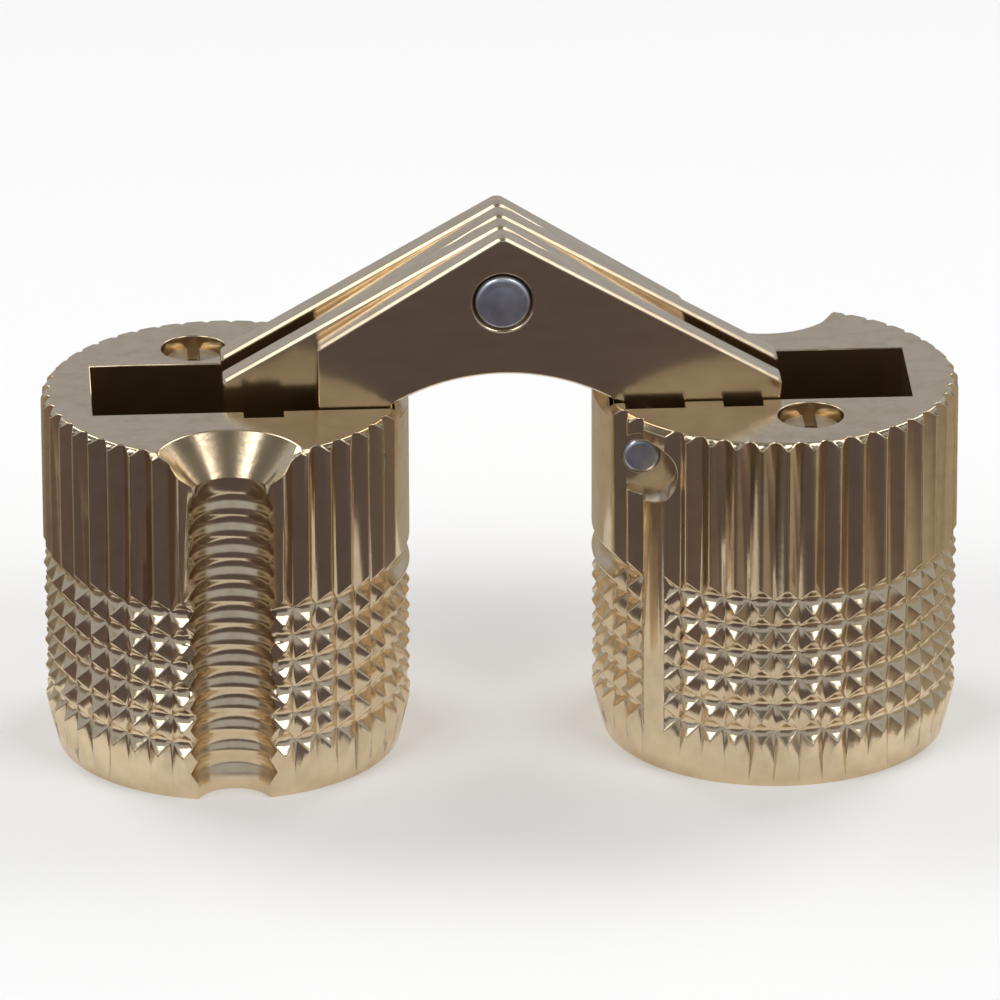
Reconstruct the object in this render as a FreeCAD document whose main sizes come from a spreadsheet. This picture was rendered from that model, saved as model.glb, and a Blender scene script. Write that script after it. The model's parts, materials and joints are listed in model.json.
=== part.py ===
"""Concealed barrel hinge, shown open at 180 degrees.

Two equal barrels stand mouth up and are pressed into bored holes in use. Four equal link
plates, turned alternately left and right, join them. Each set of two plates turns on a
pivot pin in one barrel and on the centre pin, and carries a guide pin that runs in the
grooves of the other barrel.

Frame: millimetres, origin on the floor midway between the barrels, +X from the left barrel
to the right one, +Y to the back, +Z up. A barrel's own frame has its origin at the middle
of its flat end, with +X towards the other barrel. A plate's own frame has its origin at the
centre pin.
"""
import FreeCAD
import Part
import Sketcher
import math
import os

# Driving dimensions, in millimetres and degrees
SIZES = {
    # barrel
    "barrel_diameter": 24.0,
    "barrel_height": 24.4,
    "barrel_spacing": 36.0,
    "rim_chamfer": 0.4,
    "lead_height": 3.0,
    "lead_inset": 0.7,
    # fluting and the rings that cut it into points
    "flute_count": 44,
    "flutes_off_flank": 6,
    "flutes_before_land": 2,
    "flute_depth": 0.62,
    "ridge_land": 0.12,
    "plain_flute_length": 10.2,
    "plain_flank_length": 12.7,
    "ring_count": 6,
    "ring_pitch": 1.85,
    "ring_land": 0.15,
    # slot for the links
    "slot_wall": 3.3,
    "slot_inner_reach": 7.6,
    "slot_floor": 1.3,
    "flank_wall": 1.05,
    "pocket_depth": 8.6,
    "rim_notch": 0.8,
    "relief_depth": 1.0,
    "relief_length": 3.9,
    "relief_setback": 0.85,
    "relief_height": 6.2,
    # pivot pin and its hole
    "pivot_depth": 3.2,
    "pivot_pin_diameter": 2.4,
    "pivot_pin_seat": 1.45,
    "counterbore_rim": 0.9,
    "counterbore_wall": 1.25,
    # centre pin
    "centre_height": 7.1,
    "centre_pin_diameter": 3.6,
    "centre_pin_proud": 0.1,
    # guide pin and its grooves
    "guide_offset": 2.4,
    "guide_depth": 8.6,
    "guide_pin_diameter": 2.2,
    "groove_depth": 1.0,
    # link plates
    "plate_thickness": 1.9,
    "plate_gap": 0.08,
    "ridge_height": 4.6,
    "long_slope": 30.0,
    "short_slope": 32.0,
    "long_overhang": 0.2,
    "short_setback": 5.9,
    "arch_drop": 5.0,
    "arch_clearance": 0.35,
    "leg_end": 2.0,
    "leg_inner_wall": 1.6,
    "leg_round": 1.8,
    "leg_round_share": 0.99,
    "eye_wall": 0.45,
    "strap_drop": 0.5,
    "corner_round": 0.45,
    "ridge_round": 0.8,
    "edge_round": 0.22,
    # groove for the fixing screw
    "screw_groove_diameter": 5.1,
    "countersink_diameter": 9.8,
    "thread_count": 13,
    "thread_pitch": 1.55,
    "thread_depth": 0.35,
    # locking screw
    "lock_hole_diameter": 4.3,
    "lock_hole_depth": 9.0,
    "lock_offset": 1.8,
    "lock_wall": 0.6,
    "lock_screw_length": 6.0,
    "lock_screw_recess": 0.7,
    "driver_slot_width": 0.8,
    "driver_slot_depth": 1.0,
    # clearances
    "running_clearance": 0.05,
    "slot_side_clearance": 0.23,
    "slot_end_clearance": 0.15,
    "track_clearance": 0.2,
    "groove_end_clearance": 0.15,
    "thread_clearance": 0.08,
    "closed_gap": 0.4,
    "pin_end_round": 0.3,
    "hole_chamfer": 0.3,
}
# Beyond an open face, how far a cutter reaches; straight runs that follow the guide pin's path
CUT_MARGIN = 2.0
TRACK_RUNS = 14
# Two places closer than this are one
TOUCH = 1e-4
# Link plates from the front to the back, and whether the long leg is on the right
PLATES = [("link_a_front", True), ("link_b_front", False), ("link_a_rear", True), ("link_b_rear", False)]

doc = FreeCAD.newDocument("barrel_hinge")
sheet = doc.addObject("Spreadsheet::Sheet", "sizes")
for row, (alias, value) in enumerate(SIZES.items(), start=1):
    sheet.set(f"A{row}", alias)
    sheet.set(f"B{row}", str(value))
    sheet.setAlias(f"B{row}", alias)
doc.recompute()


def cells(text):
    """Write each alias in an expression as a reference to its cell in the sheet."""
    words = sorted(SIZES, key=len, reverse=True)
    for number, word in enumerate(words):
        text = text.replace(word, f"@{number}@")
    for number, word in enumerate(words):
        text = text.replace(f"@{number}@", f"sizes.{word}")
    return text


def size(text):
    """The number that an expression in the sheet's aliases comes to."""
    number = sheet.evalExpression(cells(text))
    return float(getattr(number, "Value", number))


def bind(thing, target, text):
    """Tie one property of an object to an expression in the sheet's aliases."""
    thing.setExpression(target, cells(text))


def new_body(label):
    """A sub-part's body, named for its file."""
    body = doc.addObject("PartDesign::Body", label)
    body.Label = label
    return body


def new_sketch(body, role, name, offset=None):
    """A sketch on one of the body's origin planes, lifted along its normal by an expression."""
    sketch = body.newObject("Sketcher::SketchObject", name)
    plane = [item for item in body.Origin.OriginFeatures if item.Role == role][0]
    sketch.AttachmentSupport = [(plane, "")]
    sketch.MapMode = "FlatFace"
    if offset:
        bind(sketch, "AttachmentOffset.Base.z", offset)
    return sketch


def hold(sketch, kind, places, text):
    """Add one dimension to a sketch and bind it to an expression."""
    index = sketch.addConstraint(Sketcher.Constraint(kind, *places, size(text)))
    bind(sketch, f"Constraints[{index}]", text)


def outline(sketch, corners):
    """A closed outline of straight lines with each corner held at its two expressions."""
    points = [FreeCAD.Vector(size(across), size(along), 0) for across, along in corners]
    count = len(points)
    for i in range(count):
        sketch.addGeometry(Part.LineSegment(points[i], points[(i + 1) % count]))
    for i in range(count):
        sketch.addConstraint(Sketcher.Constraint("Coincident", i, 2, (i + 1) % count, 1))
        hold(sketch, "DistanceX", (-1, 1, i, 1), corners[i][0])
        hold(sketch, "DistanceY", (-1, 1, i, 1), corners[i][1])


def circle(sketch, across, along, radius):
    """A circle held at its centre and radius by expressions."""
    index = sketch.addGeometry(Part.Circle(FreeCAD.Vector(), FreeCAD.Vector(0, 0, 1), 1.0))
    hold(sketch, "DistanceX", (-1, 1, index, 3), across)
    hold(sketch, "DistanceY", (-1, 1, index, 3), along)
    hold(sketch, "Radius", (index,), radius)


def pad(body, sketch, length, name):
    """Raise a sketch evenly to both sides of its plane."""
    feature = body.newObject("PartDesign::Pad", name)
    feature.Profile = sketch
    feature.Midplane = True
    bind(feature, "Length", length)
    return feature


def raised(body, sketch, length, name, away=False):
    """Raise a sketch to one side of its plane."""
    feature = pad(body, sketch, length, name)
    feature.Midplane = False
    feature.Reversed = away
    return feature


def pocket(body, sketch, length, name, midplane=False, away=False):
    """Cut a sketch to a depth: evenly to both sides, or to one side of its plane."""
    feature = body.newObject("PartDesign::Pocket", name)
    feature.Profile = sketch
    feature.Midplane = midplane
    feature.Reversed = away
    feature.Refine = False
    bind(feature, "Length", length)
    return feature


def turned(body, kind, sketch, name, axis="V_Axis"):
    """Turn a sketch about one of its own axes, adding or cutting."""
    feature = body.newObject(kind, name)
    feature.Profile = sketch
    feature.ReferenceAxis = (sketch, [axis])
    feature.Angle = 360.0
    feature.Refine = False
    return feature


def rounded(body, base, edges, radius, name):
    """Round the named edges of a feature."""
    feature = body.newObject("PartDesign::Fillet", name)
    feature.Base = (base, edges)
    bind(feature, "Radius", radius)
    doc.recompute()
    return feature


def edges_at(shape, across, along):
    """The cross edges of a plate that stand at one place of its outline."""
    found = []
    for number, edge in enumerate(shape.Edges, start=1):
        centre = edge.CenterOfMass
        flat = edge.BoundBox.XLength < TOUCH and edge.BoundBox.ZLength < TOUCH
        if flat and math.hypot(centre.x - across, centre.z - along) < TOUCH:
            found.append(f"Edge{number}")
    return found


def face_edges(shape, half):
    """The edges on a plate's two flat faces."""
    found = []
    for number, edge in enumerate(shape.Edges, start=1):
        box = edge.BoundBox
        if box.YLength < TOUCH and abs(abs(box.YMin) - half) < TOUCH:
            found.append(f"Edge{number}")
    return found


def flat_circles(shape, across, along):
    """The round edges of a plate that lie in its faces about one place."""
    found = []
    for number, edge in enumerate(shape.Edges, start=1):
        if edge.BoundBox.YLength < TOUCH and isinstance(edge.Curve, Part.Circle):
            centre = edge.Curve.Center
            if math.hypot(centre.x - across, centre.z - along) < TOUCH:
                found.append(f"Edge{number}")
    return found


# Barrel

BARREL_RADIUS = "barrel_diameter / 2"
HALF_SPACING = "barrel_spacing / 2"
MOUTH = "barrel_height"
OVER_MOUTH = f"{MOUTH} + {CUT_MARGIN}"
FLUTE_STEP = "360deg / flute_count"
FIRST_FLUTE = "(flutes_off_flank + 1) / 2"
LAND_PLACE = f"({FIRST_FLUTE} + flutes_before_land)"
STACK = f"({len(PLATES)} * plate_thickness + {len(PLATES) - 1} * plate_gap)"
SLOT_HALF = f"({STACK} / 2 + slot_side_clearance)"
EYE_RADIUS = "(pivot_pin_diameter / 2 + running_clearance + eye_wall)"
POCKET_END = f"({BARREL_RADIUS} - flank_wall)"
PIVOT_OFFSET = f"({POCKET_END} - slot_end_clearance - {EYE_RADIUS})"
PIN_REACH = f"({SLOT_HALF} + pivot_pin_seat)"
LOCK_OFFSET_Y = f"({SLOT_HALF} + lock_wall + lock_hole_diameter / 2)"


def origin_axis(body):
    """The body's upright axis."""
    return [item for item in body.Origin.OriginFeatures if item.Role == "Z_Axis"][0]


def turn_sketch(sketch, axis, angle):
    """Turn a sketch about one of its own axes by an expression, before it is used."""
    sketch.AttachmentOffset = FreeCAD.Placement(FreeCAD.Vector(), FreeCAD.Rotation(axis, 1.0))
    bind(sketch, "AttachmentOffset.Rotation.Angle", angle)


def barrel_blank(body):
    """A turned cylinder with a chamfered mouth and a tapered lead at its flat end."""
    sketch = new_sketch(body, "XZ_Plane", "blank_profile")
    outline(sketch, [
        ("0", "0"),
        (f"{BARREL_RADIUS} - lead_inset", "0"),
        (BARREL_RADIUS, "lead_height"),
        (BARREL_RADIUS, f"{MOUTH} - rim_chamfer"),
        (f"{BARREL_RADIUS} - rim_chamfer", MOUTH),
        ("0", MOUTH),
    ])
    turned(body, "PartDesign::Revolution", sketch, "blank")


def point_rings(body):
    """V-shaped rings round the lower flank, as deep as the flutes, that stop at the plain land."""
    sketch = new_sketch(body, "XZ_Plane", "ring_profile")
    turn_sketch(sketch, FreeCAD.Vector(0, 1, 0), f"({LAND_PLACE} + 1 / 2) * {FLUTE_STEP}")
    middle = f"{MOUTH} - plain_flute_length - ring_pitch / 2"
    half = "(ring_pitch - ring_land) / 2"
    outline(sketch, [
        (f"{BARREL_RADIUS} - flute_depth", middle),
        (f"{BARREL_RADIUS} + flute_depth", f"{middle} - 2 * {half}"),
        (f"{BARREL_RADIUS} + flute_depth", f"{middle} + 2 * {half}"),
    ])
    first = turned(body, "PartDesign::Groove", sketch, "point_ring")
    bind(first, "Angle", f"360deg - {FLUTE_STEP}")
    pattern = body.newObject("PartDesign::LinearPattern", "point_rings")
    pattern.Originals = [first]
    pattern.Direction = (origin_axis(body), [""])
    pattern.Reversed = True
    pattern.Refine = False
    bind(pattern, "Length", "ring_pitch * (ring_count - 1)")
    bind(pattern, "Occurrences", "ring_count")
    body.Tip = pattern


def flute_row(body, name, place, count, length):
    """A row of V-shaped flutes with narrow lands between them, counted round from the inner flank."""
    sketch = new_sketch(body, "XY_Plane", f"{name}_profile")
    turn_sketch(sketch, FreeCAD.Vector(0, 0, 1), f"{place} * {FLUTE_STEP}")
    half = f"(pi * {BARREL_RADIUS} / flute_count - ridge_land / 2)"
    beyond = "ridge_land / 4"
    spread = f"{half} * (1 + {beyond} / flute_depth)"
    outline(sketch, [
        (f"{BARREL_RADIUS} - flute_depth", "0"),
        (f"{BARREL_RADIUS} + {beyond}", f"-{spread}"),
        (f"{BARREL_RADIUS} + {beyond}", spread),
    ])
    first = pocket(body, sketch, length, name, away=True)
    pattern = body.newObject("PartDesign::PolarPattern", f"{name}_row")
    pattern.Originals = [first]
    pattern.Axis = (origin_axis(body), [""])
    pattern.Refine = False
    bind(pattern, "Angle", f"({count} - 1) * {FLUTE_STEP}")
    bind(pattern, "Occurrences", count)
    body.Tip = pattern


def flutes(body):
    """Flutes all round but for one plain land, and only low on the flank beside the pivot."""
    others = "(flute_count - flutes_off_flank - flutes_before_land - 1)"
    flute_row(body, "inner_flute", FIRST_FLUTE, "flutes_before_land", OVER_MOUTH)
    flute_row(body, "outer_flute", f"({LAND_PLACE} + 1)", others, OVER_MOUTH)
    low = f"{MOUTH} - plain_flank_length"
    flute_row(body, "low_flute", "(1 - flutes_off_flank) / 2", "flutes_off_flank", low)


def fluted_blank():
    """The barrel's outside: turned, ringed and fluted, with one plain land on the back flank."""
    body = new_body("fluted_blank")
    barrel_blank(body)
    point_rings(body)
    flutes(body)
    return body


def link_space(body):
    """The slot for the links with its pocket for the pivot, notched rim and wall relief."""
    out = f"{BARREL_RADIUS} + {CUT_MARGIN}"
    slot = new_sketch(body, "XZ_Plane", "slot_profile")
    outline(slot, [
        (f"slot_wall - {BARREL_RADIUS}", "slot_floor"),
        ("slot_inner_reach", "slot_floor"),
        ("slot_inner_reach", f"{MOUTH} - pocket_depth"),
        (POCKET_END, f"{MOUTH} - pocket_depth"),
        (POCKET_END, f"{MOUTH} - rim_notch"),
        (out, f"{MOUTH} - rim_notch"),
        (out, OVER_MOUTH),
        (f"slot_wall - {BARREL_RADIUS}", OVER_MOUTH),
    ])
    pad(body, slot, f"2 * {SLOT_HALF}", "link_slot")
    relief = new_sketch(body, "XZ_Plane", "relief_profile")
    relief_end = f"({POCKET_END} - relief_setback)"
    outline(relief, [
        (f"{relief_end} - relief_length", f"{MOUTH} - relief_height"),
        (relief_end, f"{MOUTH} - relief_height"),
        (relief_end, OVER_MOUTH),
        (f"{relief_end} - relief_length", OVER_MOUTH),
    ])
    raised(body, relief, f"{SLOT_HALF} + relief_depth", "wall_relief", away=True)


def pivot_space(body):
    """The cross hole of the pivot pin, counterbored from the back."""
    centre = (PIVOT_OFFSET, f"{MOUTH} - pivot_depth")
    hole = new_sketch(body, "XZ_Plane", "pivot_circle")
    circle(hole, *centre, "pivot_pin_diameter / 2")
    pad(body, hole, f"2 * {PIN_REACH}", "pivot_hole")
    bore = new_sketch(body, "XZ_Plane", "counterbore_circle", f"-({SLOT_HALF} + counterbore_wall)")
    circle(bore, *centre, "pivot_pin_diameter / 2 + counterbore_rim")
    raised(body, bore, BARREL_RADIUS, "counterbore", away=True)


def locking_space(body):
    """The blind hole of the locking screw in the mouth face, behind the slot."""
    sketch = new_sketch(body, "XY_Plane", "locking_circle", f"{MOUTH} - lock_hole_depth")
    circle(sketch, "-lock_offset", LOCK_OFFSET_Y, "lock_hole_diameter / 2")
    raised(body, sketch, f"lock_hole_depth + {CUT_MARGIN}", "locking_hole")


def screw_space():
    """The open groove of a fixing screw in the front flank, with its thread and countersink."""
    body = new_body("screw_space")
    sketch = new_sketch(body, "XZ_Plane", "screw_profile")
    groove = "screw_groove_diameter / 2"
    sink = "(countersink_diameter - screw_groove_diameter) / 2"
    corners = [("0", f"-{CUT_MARGIN}"), (groove, f"-{CUT_MARGIN}")]
    last = f"{MOUTH} - {sink} - thread_pitch / 2"
    for number in range(int(size("thread_count")), 0, -1):
        corners.append((groove, f"{last} - thread_pitch * {number}"))
        corners.append((f"{groove} + thread_depth", f"{last} - thread_pitch * ({number} - 1 / 2)"))
    corners += [
        (groove, last),
        (groove, f"{MOUTH} - {sink}"),
        ("countersink_diameter / 2", MOUTH),
        ("countersink_diameter / 2", OVER_MOUTH),
        ("0", OVER_MOUTH),
    ]
    outline(sketch, corners)
    turned(body, "PartDesign::Revolution", sketch, "screw_groove")
    bind(body, "Placement.Base.y", f"-{BARREL_RADIUS}")
    return body


def barrel_spaces():
    """All that is cut out of a barrel, as one tool."""
    body = new_body("inner_space")
    link_space(body)
    pivot_space(body)
    locking_space(body)
    track = doc.addObject("Part::Feature", "guide_track")
    track.Shape = guide_track()
    tool = doc.addObject("Part::MultiFuse", "barrel_spaces")
    tool.Shapes = [body, track, screw_space()]
    tool.Refine = False
    return tool


def barrels():
    """The left barrel, and the right one as a copy of it turned half round."""
    left = doc.addObject("Part::Cut", "left_barrel")
    left.Base = fluted_blank()
    left.Tool = barrel_spaces()
    left.Refine = False
    doc.recompute()
    right = doc.addObject("Part::Feature", "right_barrel")
    right.Shape = left.Shape.copy()
    right.Placement.Rotation = FreeCAD.Rotation(FreeCAD.Vector(0, 0, 1), 180)
    bind(left, "Placement.Base.x", f"-{HALF_SPACING}")
    bind(right, "Placement.Base.x", HALF_SPACING)
    return [left, right]


# Travel of the links in a barrel, in the barrel's frame but measured from the mouth

def travel():
    """The swing of a link about its pivot from open to closed and the other link's share of it."""
    across = size(f"{HALF_SPACING} - {PIVOT_OFFSET}")
    rise = size("centre_height") + size("pivot_depth")
    reach = math.hypot(across, rise)
    start = math.atan2(rise, across)
    end = math.pi - math.asin((size("pivot_depth") + size("closed_gap") / 2) / reach)
    swing = end - start
    share = math.pi / swing - 1
    return reach, start, swing, share


def guide_place(turn):
    """Where the guide pin is when the first link has turned by an angle about its pivot."""
    reach, start, swing, share = travel()
    arm_x = size("guide_offset") - size("barrel_spacing") / 2
    arm_z = -size("guide_depth") - size("centre_height")
    centre_x = size(PIVOT_OFFSET) + reach * math.cos(start + turn)
    centre_z = -size("pivot_depth") + reach * math.sin(start + turn)
    own = share * turn
    across = centre_x + math.cos(own) * arm_x - math.sin(own) * arm_z
    along = centre_z + math.sin(own) * arm_x + math.cos(own) * arm_z
    return FreeCAD.Vector(across, 0, size("barrel_height") + along)


def track_run(start, end, half):
    """One straight run of the guide track with round ends, as a cutter across the slot."""
    deep = size(f"{SLOT_HALF} + groove_depth")
    ahead = (end - start).normalize() * half
    side = FreeCAD.Vector(-ahead.z, 0, ahead.x)
    edges = [
        Part.LineSegment(start + side, end + side).toShape(),
        Part.Arc(end + side, end + ahead, end - side).toShape(),
        Part.LineSegment(end - side, start - side).toShape(),
        Part.Arc(start - side, start - ahead, start + side).toShape(),
    ]
    run = Part.Face(Part.Wire(edges)).extrude(FreeCAD.Vector(0, 2 * deep, 0))
    run.translate(FreeCAD.Vector(0, -deep, 0))
    return run


def guide_track():
    """The cutter of the guide grooves: a straight entry from the mouth, then the pin's path."""
    half = size("guide_pin_diameter") / 2 + size("track_clearance")
    swing = travel()[2]
    places = [guide_place(swing * i / TRACK_RUNS) for i in range(TRACK_RUNS + 1)]
    mouth = FreeCAD.Vector(places[0].x, 0, size("barrel_height") + CUT_MARGIN)
    places.insert(0, mouth)
    runs = [track_run(start, end, half) for start, end in zip(places, places[1:])]
    return runs[0].multiFuse(runs[1:]).removeSplitter()


# Link plates, drawn in a frame with its origin at the centre pin

FLOOR_OF_LEG = "-(centre_height + guide_depth + leg_end)"
STRAP_INSIDE = f"({HALF_SPACING} - {PIVOT_OFFSET} - {EYE_RADIUS})"
STRAP_OUTSIDE = f"({HALF_SPACING} - short_setback)"
LONG_END = f"({HALF_SPACING} + long_overhang)"
LONG_TOP = f"(ridge_height - {LONG_END} * tan(long_slope * 1deg))"
SHORT_TOP = f"(ridge_height - {STRAP_OUTSIDE} * tan(short_slope * 1deg))"
LEG_OUTSIDE = f"-({HALF_SPACING} - guide_offset + leg_end)"
EYE_ACROSS = f"({HALF_SPACING} - {PIVOT_OFFSET})"
EYE_ALONG = "-(centre_height + pivot_depth)"
PIN_ROOM = "(pivot_pin_diameter / 2 + arch_clearance)"
PIN_DROP = "(centre_height + pivot_depth - arch_drop)"
# Radius of the arch that has its crown at the set drop and passes the pivot pins at the set room
ARCH_RADIUS = f"(({EYE_ACROSS} ^ 2 + {PIN_DROP} ^ 2 - {PIN_ROOM} ^ 2) / (2 * ({PIN_DROP} - {PIN_ROOM})))"

ARCH_AT_FLOOR = f"sqrt({ARCH_RADIUS} ^ 2 - ({FLOOR_OF_LEG} + arch_drop + {ARCH_RADIUS}) ^ 2)"
LEG_EDGE = f"({HALF_SPACING} - guide_offset - leg_inner_wall)"
LEG_INSIDE = f"-min({ARCH_AT_FLOOR}; {LEG_EDGE})"
LEG_ROUND = f"min(leg_round; leg_round_share * ({LEG_INSIDE} - {LEG_OUTSIDE}) / 2)"


def plate_outline(body):
    """The plate's roof, its long leg to the left and the shoulder of its short end."""
    sketch = new_sketch(body, "XZ_Plane", "plate_outline")
    outline(sketch, [
        ("0", "ridge_height"),
        (f"-{LONG_END}", LONG_TOP),
        (LEG_OUTSIDE, FLOOR_OF_LEG),
        ("0", FLOOR_OF_LEG),
        (STRAP_OUTSIDE, "-(centre_height + strap_drop)"),
        (STRAP_OUTSIDE, SHORT_TOP),
    ])
    pad(body, sketch, "plate_thickness", "plate")
    arch = new_sketch(body, "XZ_Plane", "arch_circle")
    circle(arch, "0", f"-(arch_drop + {ARCH_RADIUS})", ARCH_RADIUS)
    pocket(body, arch, "plate_thickness", "arch", midplane=True)
    leg = new_sketch(body, "XZ_Plane", "leg_outline")
    outline(leg, [
        (LEG_OUTSIDE, FLOOR_OF_LEG),
        (f"-{LEG_EDGE}", FLOOR_OF_LEG),
        (f"-{LEG_EDGE}", "-centre_height"),
        (LEG_OUTSIDE, "-centre_height"),
    ])
    pad(body, leg, "plate_thickness", "leg")


def plate_eye(body):
    """The strap of the short end, tangent to its round eye."""
    run = f"({PIVOT_OFFSET} - short_setback)"
    rise = "(pivot_depth - strap_drop)"
    lean = f"(acos({EYE_RADIUS} / sqrt({run} ^ 2 + {rise} ^ 2)) - atan({rise} / {run}))"
    sketch = new_sketch(body, "XZ_Plane", "strap_outline")
    outline(sketch, [
        (STRAP_INSIDE, "-(arch_drop - corner_round)"),
        (STRAP_INSIDE, EYE_ALONG),
        (EYE_ACROSS, EYE_ALONG),
        (f"{EYE_ACROSS} + {EYE_RADIUS} * cos({lean})", f"{EYE_ALONG} - {EYE_RADIUS} * sin({lean})"),
        (STRAP_OUTSIDE, "-(centre_height + strap_drop)"),
        (STRAP_OUTSIDE, "-(arch_drop - corner_round)"),
    ])
    pad(body, sketch, "plate_thickness", "strap")
    eye = new_sketch(body, "XZ_Plane", "eye_circle")
    circle(eye, EYE_ACROSS, EYE_ALONG, EYE_RADIUS)
    return pad(body, eye, "plate_thickness", "eye")


def plate_holes(body):
    """Holes for the centre pin, the pivot pin and the guide pin."""
    holes = new_sketch(body, "XZ_Plane", "pin_circles")
    circle(holes, "0", "0", "centre_pin_diameter / 2 + running_clearance")
    circle(holes, EYE_ACROSS, EYE_ALONG, "pivot_pin_diameter / 2 + running_clearance")
    guide = (f"guide_offset - {HALF_SPACING}", "-(centre_height + guide_depth)")
    circle(holes, *guide, "guide_pin_diameter / 2")
    return pocket(body, holes, "plate_thickness", "pin_holes", midplane=True)


def plate_body(label):
    """One link plate with rounded corners and edges."""
    body = new_body(label)
    plate_outline(body)
    shape_so_far = plate_eye(body)
    doc.recompute()
    corners = [
        ("ridge_round", [("0", "ridge_height")]),
        ("corner_round", [(f"-{LONG_END}", LONG_TOP), (STRAP_OUTSIDE, SHORT_TOP)]),
        (LEG_ROUND, [(LEG_OUTSIDE, FLOOR_OF_LEG), (LEG_INSIDE, FLOOR_OF_LEG)]),
    ]
    for number, (radius, places) in enumerate(corners):
        edges = []
        for across, along in places:
            edges += edges_at(shape_so_far.Shape, size(across), size(along))
        shape_so_far = rounded(body, shape_so_far, edges, radius, f"corner_{number}")
    half = size("plate_thickness") / 2
    rounded(body, shape_so_far, face_edges(shape_so_far.Shape, half), "edge_round", "edge_rounding")
    holes = plate_holes(body)
    doc.recompute()
    chamfer = body.newObject("PartDesign::Chamfer", "centre_hole_chamfer")
    chamfer.Base = (holes, flat_circles(holes.Shape, 0, 0))
    bind(chamfer, "Size", "hole_chamfer")
    doc.recompute()
    return body


def set_plate(body, layer, turned_round):
    """Put a plate in its layer of the stack, counted from the front."""
    step = "(plate_thickness + plate_gap)"
    bind(body, "Placement.Base.y", f"{step} * ({layer} - {len(PLATES) - 1} / 2)")
    bind(body, "Placement.Base.z", f"{MOUTH} + centre_height")
    if turned_round:
        body.Placement.Rotation = FreeCAD.Rotation(FreeCAD.Vector(0, 0, 1), 180)


# Pins and screws

def pin_body(label, radius, length):
    """A round cross pin along Y with rounded ends."""
    body = new_body(label)
    sketch = new_sketch(body, "XZ_Plane", "pin_circle")
    circle(sketch, "0", "0", radius)
    shape = pad(body, sketch, length, "pin")
    doc.recompute()
    rounded(body, shape, flat_circles(shape.Shape, 0, 0), "pin_end_round", "pin_ends")
    return body


def set_pin(body, side, across, along):
    """Put a pin across one barrel, or across the middle where side is nought."""
    bind(body, "Placement.Base.x", f"{side} * ({HALF_SPACING} - ({across}))")
    bind(body, "Placement.Base.z", f"{MOUTH} + ({along})")


def locking_screw(label):
    """A headless screw with a driver slot across its top."""
    body = new_body(label)
    sketch = new_sketch(body, "XY_Plane", "screw_circle")
    circle(sketch, "0", "0", "lock_hole_diameter / 2 - thread_clearance")
    feature = raised(body, sketch, "lock_screw_length", "screw")
    doc.recompute()
    edges = enumerate(feature.Shape.Edges, start=1)
    rims = [f"Edge{number}" for number, edge in edges if edge.BoundBox.ZLength < TOUCH]
    chamfer = body.newObject("PartDesign::Chamfer", "screw_ends")
    chamfer.Base = (feature, rims)
    bind(chamfer, "Size", "hole_chamfer")
    slot = new_sketch(body, "XZ_Plane", "driver_slot_profile")
    outline(slot, [
        ("-driver_slot_width / 2", "lock_screw_length - driver_slot_depth"),
        ("driver_slot_width / 2", "lock_screw_length - driver_slot_depth"),
        ("driver_slot_width / 2", f"lock_screw_length + {CUT_MARGIN}"),
        ("-driver_slot_width / 2", f"lock_screw_length + {CUT_MARGIN}"),
    ])
    pocket(body, slot, "2 * lock_hole_diameter", "driver_slot", midplane=True)
    doc.recompute()
    return body


def set_screw(body, side):
    """Put a locking screw in its hole: behind the slot on the left, before it on the right."""
    bind(body, "Placement.Base.x", f"{side} * ({HALF_SPACING} + lock_offset)")
    bind(body, "Placement.Base.y", f"-{side} * {LOCK_OFFSET_Y}")
    bind(body, "Placement.Base.z", f"{MOUTH} - lock_screw_recess - lock_screw_length")


# Assembly

parts = []
for layer, (label, turned_round) in enumerate(PLATES):
    plate = plate_body(label)
    set_plate(plate, layer, turned_round)
    parts.append(plate)

centre_pin = pin_body("centre_pin", "centre_pin_diameter / 2", f"{STACK} + 2 * centre_pin_proud")
set_pin(centre_pin, 0, "0", "centre_height")
parts.append(centre_pin)
for side, name in ((-1, "left"), (1, "right")):
    pivot_pin = pin_body(f"{name}_pivot_pin", "pivot_pin_diameter / 2", f"2 * {PIN_REACH}")
    set_pin(pivot_pin, side, PIVOT_OFFSET, "-pivot_depth")
    guide_length = f"2 * ({SLOT_HALF} + groove_depth - groove_end_clearance)"
    guide_pin = pin_body(f"{name}_guide_pin", "guide_pin_diameter / 2", guide_length)
    set_pin(guide_pin, side, "guide_offset", "-guide_depth")
    screw = locking_screw(f"{name}_locking_screw")
    set_screw(screw, side)
    parts += [pivot_pin, guide_pin, screw]

parts += barrels()
doc.recompute()
for thing in doc.Objects:
    if "Invalid" in thing.State or "Error" in thing.State:
        raise RuntimeError(f"{thing.Name} did not build: {thing.State}")
for part in parts:
    if part.Shape.isNull() or not part.Shape.isValid():
        raise RuntimeError(f"{part.Label} has no valid shape")
os.makedirs("parts", exist_ok=True)
for part in parts:
    part.Shape.exportStep(f"parts/{part.Label}.step")
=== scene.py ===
"""Finishes and stage of a concealed barrel hinge.

The solids keep their shapes. Each piece gets a copy with whole faces and smooth curves, the barrels
and screws get eased edges, and the centre pin gets domed faces. Each finish is a metal of its own.
"""
import json
import math

import bmesh
import bpy
import numpy as np
from mathutils import Matrix, Vector


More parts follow.
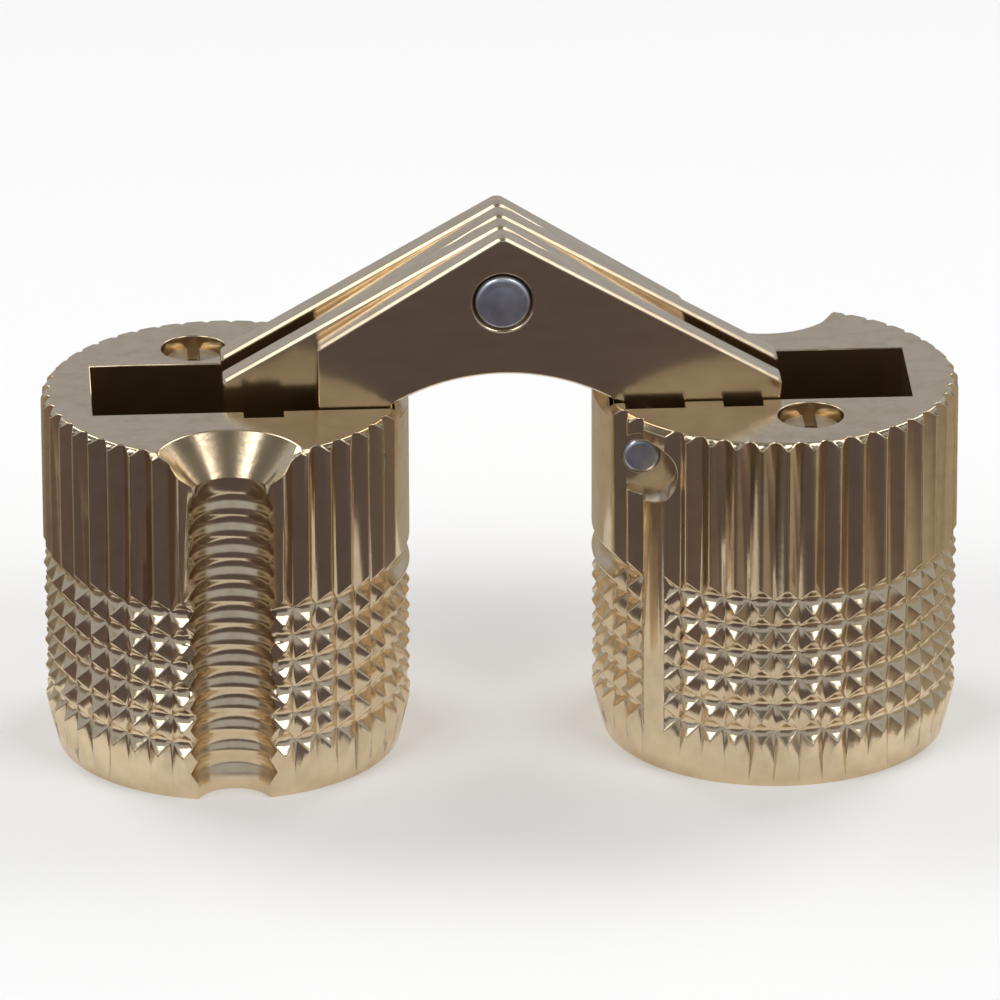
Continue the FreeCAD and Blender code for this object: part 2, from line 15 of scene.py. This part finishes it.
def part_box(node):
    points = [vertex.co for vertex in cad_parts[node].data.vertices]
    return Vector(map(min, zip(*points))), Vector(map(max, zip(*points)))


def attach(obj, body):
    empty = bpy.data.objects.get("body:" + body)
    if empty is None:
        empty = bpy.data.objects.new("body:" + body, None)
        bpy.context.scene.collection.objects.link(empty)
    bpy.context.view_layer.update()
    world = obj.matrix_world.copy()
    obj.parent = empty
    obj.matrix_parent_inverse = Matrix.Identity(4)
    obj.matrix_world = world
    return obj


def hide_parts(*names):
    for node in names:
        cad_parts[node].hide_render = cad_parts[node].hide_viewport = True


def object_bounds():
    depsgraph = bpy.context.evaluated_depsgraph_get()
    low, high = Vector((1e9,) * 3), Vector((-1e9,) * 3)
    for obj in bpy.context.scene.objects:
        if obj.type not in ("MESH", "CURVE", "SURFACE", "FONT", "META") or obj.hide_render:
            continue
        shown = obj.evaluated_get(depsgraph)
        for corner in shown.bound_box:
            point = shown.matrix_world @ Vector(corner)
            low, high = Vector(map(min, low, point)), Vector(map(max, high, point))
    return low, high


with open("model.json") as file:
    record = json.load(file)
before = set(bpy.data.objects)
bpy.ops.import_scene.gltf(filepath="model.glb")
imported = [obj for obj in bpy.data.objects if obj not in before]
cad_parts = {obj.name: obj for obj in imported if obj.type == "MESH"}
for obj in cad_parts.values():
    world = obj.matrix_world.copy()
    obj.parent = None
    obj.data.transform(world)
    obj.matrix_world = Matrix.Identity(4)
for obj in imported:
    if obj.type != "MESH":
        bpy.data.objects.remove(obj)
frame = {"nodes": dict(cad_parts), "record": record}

bl_info = {
    "name": "Barrel hinge finishes",
    "version": (1, 0, 0),
    "blender": (4, 5, 0),
    "location": "3D View > Sidebar > Hinge",
    "description": "Finishes the pieces of a concealed barrel hinge and sets its stage",
    "category": "Object",
}

CAD_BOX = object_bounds()
MM = 0.001
BODY_OF = {
    node: body
    for body, nodes in frame["record"]["behaviour"]["bodies"].items()
    for node in nodes
}
BARRELS = ("left_barrel", "right_barrel")
LINKS = ("link_a_front", "link_a_rear", "link_b_front", "link_b_rear")
PINS = ("centre_pin", "left_pivot_pin", "right_pivot_pin", "left_guide_pin", "right_guide_pin")
SCREWS = ("left_locking_screw", "right_locking_screw")

# Corners closer than this are one, and faces that turn less than this are one flat face
MERGE_DISTANCE = 0.0005 * MM
FLAT_TURN = math.radians(0.3)

# Edges that turn more than this are sharp
BARREL_CREASE = math.radians(24)
LINK_CREASE = math.radians(35)
PIN_CREASE = math.radians(50)
SCREW_CREASE = math.radians(30)

# A barrel's sharp edges are eased above this height and this far from its screw groove's axis
TAPER_TOP = 2.95 * MM
GROOVE_REACH = 3.3 * MM
EASED_SEGMENTS = 2

# A domed face of the centre pin: shares of the pin's radius and of the face's, and depths in the pin
FACE_SHARE = 0.9
POLE_SHARE = 0.02
FOOT_SHARE = 0.5
RIM_SINK = 0.06 * MM
FOOT_SINK = 0.3 * MM
FACE_ROWS = 12
FACE_STEPS = 64

# Noise of the metals: where the dull tone ends and the bright one starts, and its detail
SHADE_END = 0.32
TONE_START = 0.58
CLOUD_DETAIL = 4.0
SKIN_DETAIL = 3.0
SKIN_FINENESS = 3.0
NO_STRETCH = (1, 1, 1)
ALONG_PLATE = (0.35, 1, 1)

# Floor and cards, in metres
FLOOR_HALF = 2.0
CARD_REACH = 0.4
CARD_LIFT = 0.2 * MM
CARD_STEPS = 96
TENT_ROWS = 24
TENT_RISE = 89.9

# The line that a card's tones are measured against, and how far toward it each tone leans
# The cards' tones are painted reflections, which only the metal shows
LOW_CARD_LINE = (0.34, 0.94, 0.0)
LOW_CARD_LEANS = ((-0.92, "near_front"), (-0.55, "near_side"), (0.05, "near_back"))
TENT_LINE = (0.0, 0.0, 1.0)
TENT_LEANS = ((0.50, "tent_low"), (0.60, "tent_middle"), (0.94, "tent_middle"), (0.985, "tent_top"))

# Lamps: their turns about the upright axis in degrees, height above the horizon, place and size
LAMP_TURNS = {"front_left": -46, "front_right": 46, "back_left": -134, "back_right": 134}
LAMP_RISE = math.radians(49)
LAMP_AWAY = 0.36
LAMP_WIDTH = 0.15
LAMP_HEIGHT = 0.16

SENSOR_WIDTH = 36.0
CLIP_START = 0.01
CLIP_END = 10.0


class HingeFinish(bpy.types.PropertyGroup):
    """Colours and edges of the hinge's metals."""

    brass: bpy.props.FloatVectorProperty(
        name="Brass", description="Bright tone of the plating", subtype="COLOR",
        default=(0.78, 0.63, 0.43),
    )
    brass_shade: bpy.props.FloatVectorProperty(
        name="Brass shade", description="Duller tone of the plating", subtype="COLOR",
        default=(0.70, 0.555, 0.365),
    )
    steel: bpy.props.FloatVectorProperty(
        name="Steel", description="Tone of the ground pins", subtype="COLOR",
        default=(0.62, 0.65, 0.72),
    )
    steel_shade: bpy.props.FloatVectorProperty(
        name="Steel shade", description="Duller tone of the pins", subtype="COLOR",
        default=(0.45, 0.47, 0.52),
    )
    screw: bpy.props.FloatVectorProperty(
        name="Screw", description="Tone of the locking screws", subtype="COLOR",
        default=(0.60, 0.50, 0.36),
    )
    screw_shade: bpy.props.FloatVectorProperty(
        name="Screw shade", description="Duller tone of the screws", subtype="COLOR",
        default=(0.42, 0.34, 0.23),
    )
    barrel_edge: bpy.props.FloatProperty(
        name="Barrel edge", description="Width of the eased edges of a barrel", unit="LENGTH",
        default=0.07 * MM,
    )
    screw_edge: bpy.props.FloatProperty(
        name="Screw edge", description="Width of the eased edges of a locking screw", unit="LENGTH",
        default=0.05 * MM,
    )
    head_rise: bpy.props.FloatProperty(
        name="Head rise", description="Rise of the domed faces of the centre pin", unit="LENGTH",
        default=0.12 * MM,
    )


class HingeStage(bpy.types.PropertyGroup):
    """The camera's place, the floor, the cards and the light."""

    azimuth: bpy.props.FloatProperty(
        name="Azimuth", description="Turn of the camera about the upright axis", subtype="ANGLE",
        default=math.radians(-3.02),
    )
    elevation: bpy.props.FloatProperty(
        name="Elevation", description="Height of the camera above the horizon", subtype="ANGLE",
        default=math.radians(23.17),
    )
    roll: bpy.props.FloatProperty(
        name="Roll", description="Turn of the camera about its own line of sight", subtype="ANGLE",
        default=math.radians(-0.19),
    )
    distance: bpy.props.FloatProperty(
        name="Distance", description="From the camera to its target", unit="LENGTH", default=0.7787,
    )
    target: bpy.props.FloatVectorProperty(
        name="Target", description="The point the camera looks at", subtype="XYZ",
        default=(-0.00003, 0.0, 0.01596),
    )
    lens: bpy.props.FloatProperty(
        name="Lens", description="Focal length in millimetres", default=427.5,
    )
    floor: bpy.props.FloatVectorProperty(
        name="Floor", description="Colour of the floor", subtype="COLOR", default=(0.90, 0.90, 0.90),
    )
    # The tones of the low card and the tent are painted reflections in the metal: dark before and
    # beside the hinge and halfway up the tent, paler behind it, low in the tent and overhead
    near_front: bpy.props.FloatVectorProperty(
        name="Near front", description="Tone of the low card before the hinge", subtype="COLOR",
        default=(0.105, 0.088, 0.095),
    )
    near_side: bpy.props.FloatVectorProperty(
        name="Near side", description="Tone of the low card beside the hinge", subtype="COLOR",
        default=(0.145, 0.105, 0.10),
    )
    near_back: bpy.props.FloatVectorProperty(
        name="Near back", description="Tone of the low card behind the hinge", subtype="COLOR",
        default=(0.40, 0.36, 0.29),
    )
    tent_low: bpy.props.FloatVectorProperty(
        name="Tent low", description="Tone of the tent near the horizon", subtype="COLOR",
        default=(0.43, 0.46, 0.52),
    )
    tent_middle: bpy.props.FloatVectorProperty(
        name="Tent middle", description="Tone of the tent halfway up", subtype="COLOR",
        default=(0.12, 0.115, 0.11),
    )
    tent_top: bpy.props.FloatVectorProperty(
        name="Tent top", description="Tone of the tent overhead", subtype="COLOR",
        default=(0.40, 0.40, 0.40),
    )
    card_gap: bpy.props.FloatProperty(
        name="Card gap", description="From the hinge to the low card", unit="LENGTH", default=9 * MM,
    )
    sky: bpy.props.FloatProperty(
        name="Sky", description="Strength of the even light from all round", default=0.39,
    )
    softbox: bpy.props.FloatProperty(
        name="Softbox", description="Power of each of the four lamps in watts", default=0.32,
    )


# Meshes

def eased_place(node):
    """Where a barrel's sharp edges are eased: above its tapered end and clear of its screw groove."""
    low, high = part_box(node)
    groove = Vector(((low.x + high.x) / 2, low.y if node == "left_barrel" else high.y))
    return lambda place: place.z > TAPER_TOP and (place.xy - groove).length > GROOVE_REACH


def whole_copy(node, name, crease, eased_at=lambda place: True):
    """A copy of a CAD node with its triangles joined, flat faces made whole and curves smooth.

    Its outward edges that are sharper than the crease are marked for easing, where they may be eased.
    """
    shape = bmesh.new()
    shape.from_mesh(frame["nodes"][node].data)
    bmesh.ops.remove_doubles(shape, verts=shape.verts, dist=MERGE_DISTANCE)
    bmesh.ops.dissolve_limit(
        shape, angle_limit=FLAT_TURN, use_dissolve_boundaries=False,
        verts=shape.verts, edges=shape.edges,
    )
    eased = shape.edges.layers.float.new("bevel_weight_edge")
    for edge in shape.edges:
        sharp = edge.is_convex and edge.calc_face_angle(0.0) > crease
        edge[eased] = float(sharp and all(eased_at(corner.co) for corner in edge.verts))
    mesh = bpy.data.meshes.new(name)
    shape.to_mesh(mesh)
    shape.free()
    mesh.materials.clear()
    mesh.shade_smooth()
    mesh.set_sharp_from_angle(angle=crease)
    piece = bpy.data.objects.new(name, mesh)
    bpy.context.scene.collection.objects.link(piece)
    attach(piece, BODY_OF[node])
    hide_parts(node)
    return piece


def ease_edges(piece, width):
    """Ease a piece's marked edges with a narrow round."""
    bevel = piece.modifiers.new("eased_edges", "BEVEL")
    bevel.width = width
    bevel.segments = EASED_SEGMENTS
    bevel.limit_method = "WEIGHT"
    bevel.use_clamp_overlap = False
    bevel.harden_normals = True


def turned_solid(name, radii, places, steps):
    """A solid of revolution about Y.

    Point (i, j) is (r_i cos a_j, y_i, r_i sin a_j), with a_j even round the turn. The first and
    last rows close in one pole each.
    """
    angles = np.linspace(0.0, 2.0 * np.pi, steps, endpoint=False)
    radii = np.asarray(radii, float)
    places = np.asarray(places, float)
    rows = len(radii)
    grid = np.empty((rows, steps, 3))
    grid[..., 0] = radii[:, None] * np.cos(angles)
    grid[..., 1] = places[:, None]
    grid[..., 2] = radii[:, None] * np.sin(angles)
    points = np.vstack([grid.reshape(-1, 3), [[0, places[0], 0], [0, places[-1], 0]]])
    index = np.arange(rows * steps).reshape(rows, steps)
    ahead = np.roll(index, -1, axis=1)
    quads = np.stack([index[:-1], ahead[:-1], ahead[1:], index[1:]], axis=-1).reshape(-1, 4)
    first = np.stack([ahead[0], index[0], np.full(steps, rows * steps)], axis=-1)
    last = np.stack([index[-1], ahead[-1], np.full(steps, rows * steps + 1)], axis=-1)
    mesh = bpy.data.meshes.new(name)
    mesh.from_pydata(points.tolist(), [], quads.tolist() + first.tolist() + last.tolist())
    mesh.update()
    mesh.shade_smooth()
    return mesh


def round_card(name, rows):
    """An open sheet round the upright axis.

    Point (i, j) is (x_i cos a_j, y_i sin a_j, z_i), with a_j even round the turn.
    """
    angles = np.linspace(0.0, 2.0 * np.pi, CARD_STEPS, endpoint=False)
    round_trip = np.stack([np.cos(angles), np.sin(angles), np.ones_like(angles)], axis=-1)
    points = np.asarray(rows)[:, None, :] * round_trip[None, :, :]
    index = np.arange(points[..., 0].size).reshape(points.shape[:2])
    ahead = np.roll(index, -1, axis=1)
    quads = np.stack([index[:-1], index[1:], ahead[1:], ahead[:-1]], axis=-1).reshape(-1, 4)
    mesh = bpy.data.meshes.new(name)
    mesh.from_pydata(points.reshape(-1, 3).tolist(), [], quads.tolist())
    return mesh


def direction(turn, rise):
    """The direction at a turn about the upright axis from the front and a rise above the horizon."""
    return Vector((
        math.sin(turn) * math.cos(rise), -math.cos(turn) * math.cos(rise), math.sin(rise)
    ))


# Materials

def metal(name, tone, shade, roughness, stretch, grain, depth):
    """A metal whose tone, gloss and skin waver with noise in object coordinates.

    The roughness is a pair, of the bright spots and of the dull ones.
    """
    material = bpy.data.materials.new(name)
    material.use_nodes = True
    nodes = material.node_tree.nodes
    links = material.node_tree.links
    surface = nodes["Principled BSDF"]
    surface.inputs["Metallic"].default_value = 1.0
    place = nodes.new("ShaderNodeTexCoord")
    turn = nodes.new("ShaderNodeMapping")
    turn.inputs["Scale"].default_value = stretch
    links.new(place.outputs["Object"], turn.inputs["Vector"])
    cloud = nodes.new("ShaderNodeTexNoise")
    cloud.inputs["Scale"].default_value = grain
    cloud.inputs["Detail"].default_value = CLOUD_DETAIL
    links.new(turn.outputs["Vector"], cloud.inputs["Vector"])
    tones = nodes.new("ShaderNodeValToRGB")
    tones.color_ramp.elements[0].position = SHADE_END
    tones.color_ramp.elements[0].color = (*shade, 1.0)
    tones.color_ramp.elements[1].position = TONE_START
    tones.color_ramp.elements[1].color = (*tone, 1.0)
    links.new(cloud.outputs["Fac"], tones.inputs["Fac"])
    links.new(tones.outputs["Color"], surface.inputs["Base Color"])
    polish = nodes.new("ShaderNodeMapRange")
    polish.inputs["To Min"].default_value = roughness[1]
    polish.inputs["To Max"].default_value = roughness[0]
    links.new(cloud.outputs["Fac"], polish.inputs["Value"])
    links.new(polish.outputs["Result"], surface.inputs["Roughness"])
    skin = nodes.new("ShaderNodeTexNoise")
    skin.inputs["Scale"].default_value = grain * SKIN_FINENESS
    skin.inputs["Detail"].default_value = SKIN_DETAIL
    links.new(turn.outputs["Vector"], skin.inputs["Vector"])
    bump = nodes.new("ShaderNodeBump")
    bump.inputs["Strength"].default_value = 1.0
    bump.inputs["Distance"].default_value = depth
    links.new(skin.outputs["Fac"], bump.inputs["Height"])
    links.new(bump.outputs["Normal"], surface.inputs["Normal"])
    return material


def glow(name, toward, stops):
    """A glowing card whose tone, a painted reflection, changes with how far its direction from the
    middle leans toward a line.
    """
    material = bpy.data.materials.new(name)
    material.use_nodes = True
    nodes = material.node_tree.nodes
    links = material.node_tree.links
    nodes.remove(nodes["Principled BSDF"])
    place = nodes.new("ShaderNodeTexCoord")
    ahead = nodes.new("ShaderNodeVectorMath")
    ahead.operation = "NORMALIZE"
    links.new(place.outputs["Object"], ahead.inputs[0])
    lean = nodes.new("ShaderNodeVectorMath")
    lean.operation = "DOT_PRODUCT"
    lean.inputs[1].default_value = toward
    links.new(ahead.outputs["Vector"], lean.inputs[0])
    share = nodes.new("ShaderNodeMapRange")
    share.inputs["From Min"].default_value = -1.0
    links.new(lean.outputs["Value"], share.inputs["Value"])
    tones = nodes.new("ShaderNodeValToRGB")
    ramp = tones.color_ramp
    ramp.elements.remove(ramp.elements[1])
    ramp.elements[0].position = (stops[0][0] + 1.0) / 2.0
    ramp.elements[0].color = (*stops[0][1], 1.0)
    for where, colour in stops[1:]:
        ramp.elements.new((where + 1.0) / 2.0).color = (*colour, 1.0)
    links.new(share.outputs["Result"], tones.inputs["Fac"])
    # The tone glows: a painted reflection, not a lamp
    light = nodes.new("ShaderNodeEmission")
    links.new(tones.outputs["Color"], light.inputs["Color"])
    links.new(light.outputs["Emission"], nodes["Material Output"].inputs["Surface"])
    return material


def plain(name, colour):
    """A matt stage material."""
    material = bpy.data.materials.new(name)
    material.use_nodes = True
    surface = material.node_tree.nodes["Principled BSDF"]
    surface.inputs["Base Color"].default_value = (*colour, 1.0)
    surface.inputs["Roughness"].default_value = 1.0
    surface.inputs["Specular IOR Level"].default_value = 0.0
    return material


# Operators

class FinishBarrels(bpy.types.Operator):
    """Plate the two fluted barrels"""

    bl_idname = "hinge.finish_barrels"
    bl_label = "Barrels"

    def execute(self, context):
        look = context.scene.hinge_finish
        plating = metal(
            "cast_brass_plating", look.brass, look.brass_shade,
            roughness=(0.14, 0.25), stretch=NO_STRETCH, grain=800.0, depth=0.006 * MM,
        )
        for node in BARRELS:
            piece = whole_copy(node, f"{node}_plated", BARREL_CREASE, eased_place(node))
            ease_edges(piece, look.barrel_edge)
            piece.data.materials.append(plating)
        return {"FINISHED"}


class FinishLinks(bpy.types.Operator):
    """Plate the link plates and draw their faces along their length"""

    bl_idname = "hinge.finish_links"
    bl_label = "Link plates"

    def execute(self, context):
        look = context.scene.hinge_finish
        plating = metal(
            "drawn_brass_plating", look.brass, look.brass_shade,
            roughness=(0.13, 0.22), stretch=ALONG_PLATE, grain=800.0, depth=0.003 * MM,
        )
        for node in LINKS:
            piece = whole_copy(node, f"{node}_plated", LINK_CREASE)
            flat = piece.modifiers.new("flat_faces", "WEIGHTED_NORMAL")
            flat.keep_sharp = True
            piece.data.materials.append(plating)
        return {"FINISHED"}


class FinishPins(bpy.types.Operator):
    """Grind the pins and dome the faces of the centre pin"""

    bl_idname = "hinge.finish_pins"
    bl_label = "Pins"

    def execute(self, context):
        look = context.scene.hinge_finish
        ground = metal(
            "ground_steel", look.steel, look.steel_shade,
            roughness=(0.28, 0.42), stretch=NO_STRETCH, grain=900.0, depth=0.004 * MM,
        )
        for node in PINS:
            piece = whole_copy(node, f"{node}_ground", PIN_CREASE)
            piece.data.materials.append(ground)
        self.dome_faces(context, look, ground)
        return {"FINISHED"}

    def dome_faces(self, context, look, ground):
        """A shallow dome on each end of the centre pin: at share s of its radius, rise (1 - s^2)."""
        low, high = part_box("centre_pin")
        middle = (low + high) / 2
        radius = (high.x - low.x) / 2 * FACE_SHARE
        share = np.linspace(POLE_SHARE, 1.0, FACE_ROWS)
        rise = look.head_rise * (1.0 - share ** 2) - RIM_SINK
        radii = np.append(radius * share, radius * FOOT_SHARE)
        for name, end, out in (("front", low.y, -1), ("rear", high.y, 1)):
            places = np.append(end + out * rise, end - out * FOOT_SINK)
            mesh = turned_solid(f"centre_pin_{name}_face", radii[::out], places[::out], FACE_STEPS)
            mesh.transform(Matrix.Translation((middle.x, 0.0, middle.z)))
            mesh.materials.append(ground)
            piece = bpy.data.objects.new(f"centre_pin_{name}_face", mesh)
            context.scene.collection.objects.link(piece)
            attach(piece, BODY_OF["centre_pin"])


class FinishScrews(bpy.types.Operator):
    """Finish the locking screws"""

    bl_idname = "hinge.finish_screws"
    bl_label = "Locking screws"

    def execute(self, context):
        look = context.scene.hinge_finish
        steel = metal(
            "screw_steel", look.screw, look.screw_shade,
            roughness=(0.30, 0.45), stretch=NO_STRETCH, grain=900.0, depth=0.006 * MM,
        )
        for node in SCREWS:
            piece = whole_copy(node, f"{node}_finished", SCREW_CREASE)
            ease_edges(piece, look.screw_edge)
            piece.data.materials.append(steel)
        return {"FINISHED"}


class SetStage(bpy.types.Operator):
    """Lay the floor, stand the cards, hang the light and set the camera"""

    bl_idname = "hinge.set_stage"
    bl_label = "Stage"

    def execute(self, context):
        look = context.scene.hinge_stage
        self.lay_floor(context, look)
        self.set_cards(context, look)
        self.set_sky(context, look)
        self.hang_lamps(context, look)
        self.set_camera(context, look)
        return {"FINISHED"}

    def lay_floor(self, context, look):
        """A square floor under the barrels' flat ends."""
        half = FLOOR_HALF
        corners = [(-half, -half, 0), (half, -half, 0), (half, half, 0), (-half, half, 0)]
        mesh = bpy.data.meshes.new("floor")
        mesh.from_pydata(corners, [], [(0, 1, 2, 3)])
        mesh.materials.append(plain("floor_white", look.floor))
        floor = bpy.data.objects.new("floor", mesh)
        context.scene.collection.objects.link(floor)

    def set_cards(self, context, look):
        """A low card and a tent round the hinge that glow and that only its reflections show: painted
        reflections, dark before and beside the hinge, paler behind it and above.

        The low card is flat and its inner rim keeps a set gap from the hinge. The tent is half of a
        sphere.
        """
        high = CAD_BOX[1]
        inner = (high.x + look.card_gap, high.y + look.card_gap, CARD_LIFT)
        low_card = [inner, (CARD_REACH, CARD_REACH, CARD_LIFT)]
        rise = np.radians(np.linspace(0.0, TENT_RISE, TENT_ROWS))
        across = CARD_REACH * np.cos(rise)
        tent = np.stack([across, across, CARD_REACH * np.sin(rise) + CARD_LIFT], axis=-1)
        for name, rows, line, leans in (
            ("low_card", low_card, LOW_CARD_LINE, LOW_CARD_LEANS),
            ("tent", tent, TENT_LINE, TENT_LEANS),
        ):
            stops = [(lean, getattr(look, tone)) for lean, tone in leans]
            mesh = round_card(name, rows)
            mesh.materials.append(glow(f"{name}_tone", line, stops))
            card = bpy.data.objects.new(name, mesh)
            context.scene.collection.objects.link(card)
            # The cards glow only in the metal's reflections: painted reflections that cast no light
            # and no shadow
            card.visible_camera = False
            card.visible_diffuse = False
            card.visible_shadow = False
            card.visible_transmission = False

    def set_sky(self, context, look):
        """An even sky: white where it is seen or mirrored, and at its set strength as light."""
        world = bpy.data.worlds.new("white_sky")
        world.use_nodes = True
        nodes = world.node_tree.nodes
        links = world.node_tree.links
        nodes["Background"].inputs["Color"].default_value = (1.0, 1.0, 1.0, 1.0)
        path = nodes.new("ShaderNodeLightPath")
        seen = nodes.new("ShaderNodeMath")
        seen.operation = "MAXIMUM"
        links.new(path.outputs["Is Camera Ray"], seen.inputs[0])
        links.new(path.outputs["Is Glossy Ray"], seen.inputs[1])
        through = nodes.new("ShaderNodeMath")
        through.operation = "MAXIMUM"
        links.new(seen.outputs["Value"], through.inputs[0])
        links.new(path.outputs["Is Transmission Ray"], through.inputs[1])
        level = nodes.new("ShaderNodeMapRange")
        level.inputs["To Min"].default_value = look.sky
        level.inputs["To Max"].default_value = 1.0
        links.new(through.outputs["Value"], level.inputs["Value"])
        links.new(level.outputs["Result"], nodes["Background"].inputs["Strength"])
        context.scene.world = world

    def hang_lamps(self, context, look):
        """Four soft lamps, two before the hinge and two behind it."""
        for name, turn in LAMP_TURNS.items():
            lamp = bpy.data.lights.new(f"softbox_{name}", "AREA")
            lamp.shape = "RECTANGLE"
            lamp.size = LAMP_WIDTH
            lamp.size_y = LAMP_HEIGHT
            lamp.energy = look.softbox
            ahead = direction(math.radians(turn), LAMP_RISE)
            hung = bpy.data.objects.new(f"softbox_{name}", lamp)
            hung.location = ahead * LAMP_AWAY
            hung.rotation_euler = ahead.to_track_quat("Z", "Y").to_euler()
            context.scene.collection.objects.link(hung)

    def set_camera(self, context, look):
        """A long lens at the viewing angle, level but for a slight roll."""
        back = direction(look.azimuth, look.elevation)
        lens = bpy.data.cameras.new("camera")
        lens.sensor_width = SENSOR_WIDTH
        lens.lens = look.lens
        lens.clip_start = CLIP_START
        lens.clip_end = CLIP_END
        camera = bpy.data.objects.new("camera", lens)
        turn = back.to_track_quat("Z", "Y").to_matrix().to_4x4() @ Matrix.Rotation(look.roll, 4, "Z")
        camera.matrix_world = Matrix.Translation(Vector(look.target) + back * look.distance) @ turn
        context.scene.collection.objects.link(camera)
        context.scene.camera = camera
        context.scene.view_settings.view_transform = "Standard"


class HingePanel(bpy.types.Panel):
    """Finishes and stage of the hinge"""

    bl_idname = "VIEW3D_PT_barrel_hinge"
    bl_label = "Barrel hinge"
    bl_space_type = "VIEW_3D"
    bl_region_type = "UI"
    bl_category = "Hinge"

    def draw(self, context):
        for group in (context.scene.hinge_finish, context.scene.hinge_stage):
            box = self.layout.box()
            for name in group.bl_rna.properties.keys():
                if name not in {"rna_type", "name"}:
                    box.prop(group, name)
        for operator in OPERATORS:
            self.layout.operator(operator.bl_idname)


OPERATORS = (FinishBarrels, FinishLinks, FinishPins, FinishScrews, SetStage)
CLASSES = (HingeFinish, HingeStage, *OPERATORS, HingePanel)


def register():
    for item in CLASSES:
        bpy.utils.register_class(item)
    bpy.types.Scene.hinge_finish = bpy.props.PointerProperty(type=HingeFinish)
    bpy.types.Scene.hinge_stage = bpy.props.PointerProperty(type=HingeStage)


def unregister():
    del bpy.types.Scene.hinge_stage
    del bpy.types.Scene.hinge_finish
    for item in reversed(CLASSES):
        bpy.utils.unregister_class(item)


def main():
    """Make every piece and the stage."""
    register()
    bpy.ops.hinge.finish_barrels()
    bpy.ops.hinge.finish_links()
    bpy.ops.hinge.finish_pins()
    bpy.ops.hinge.finish_screws()
    bpy.ops.hinge.set_stage()


if __name__ == "__main__":
    main()
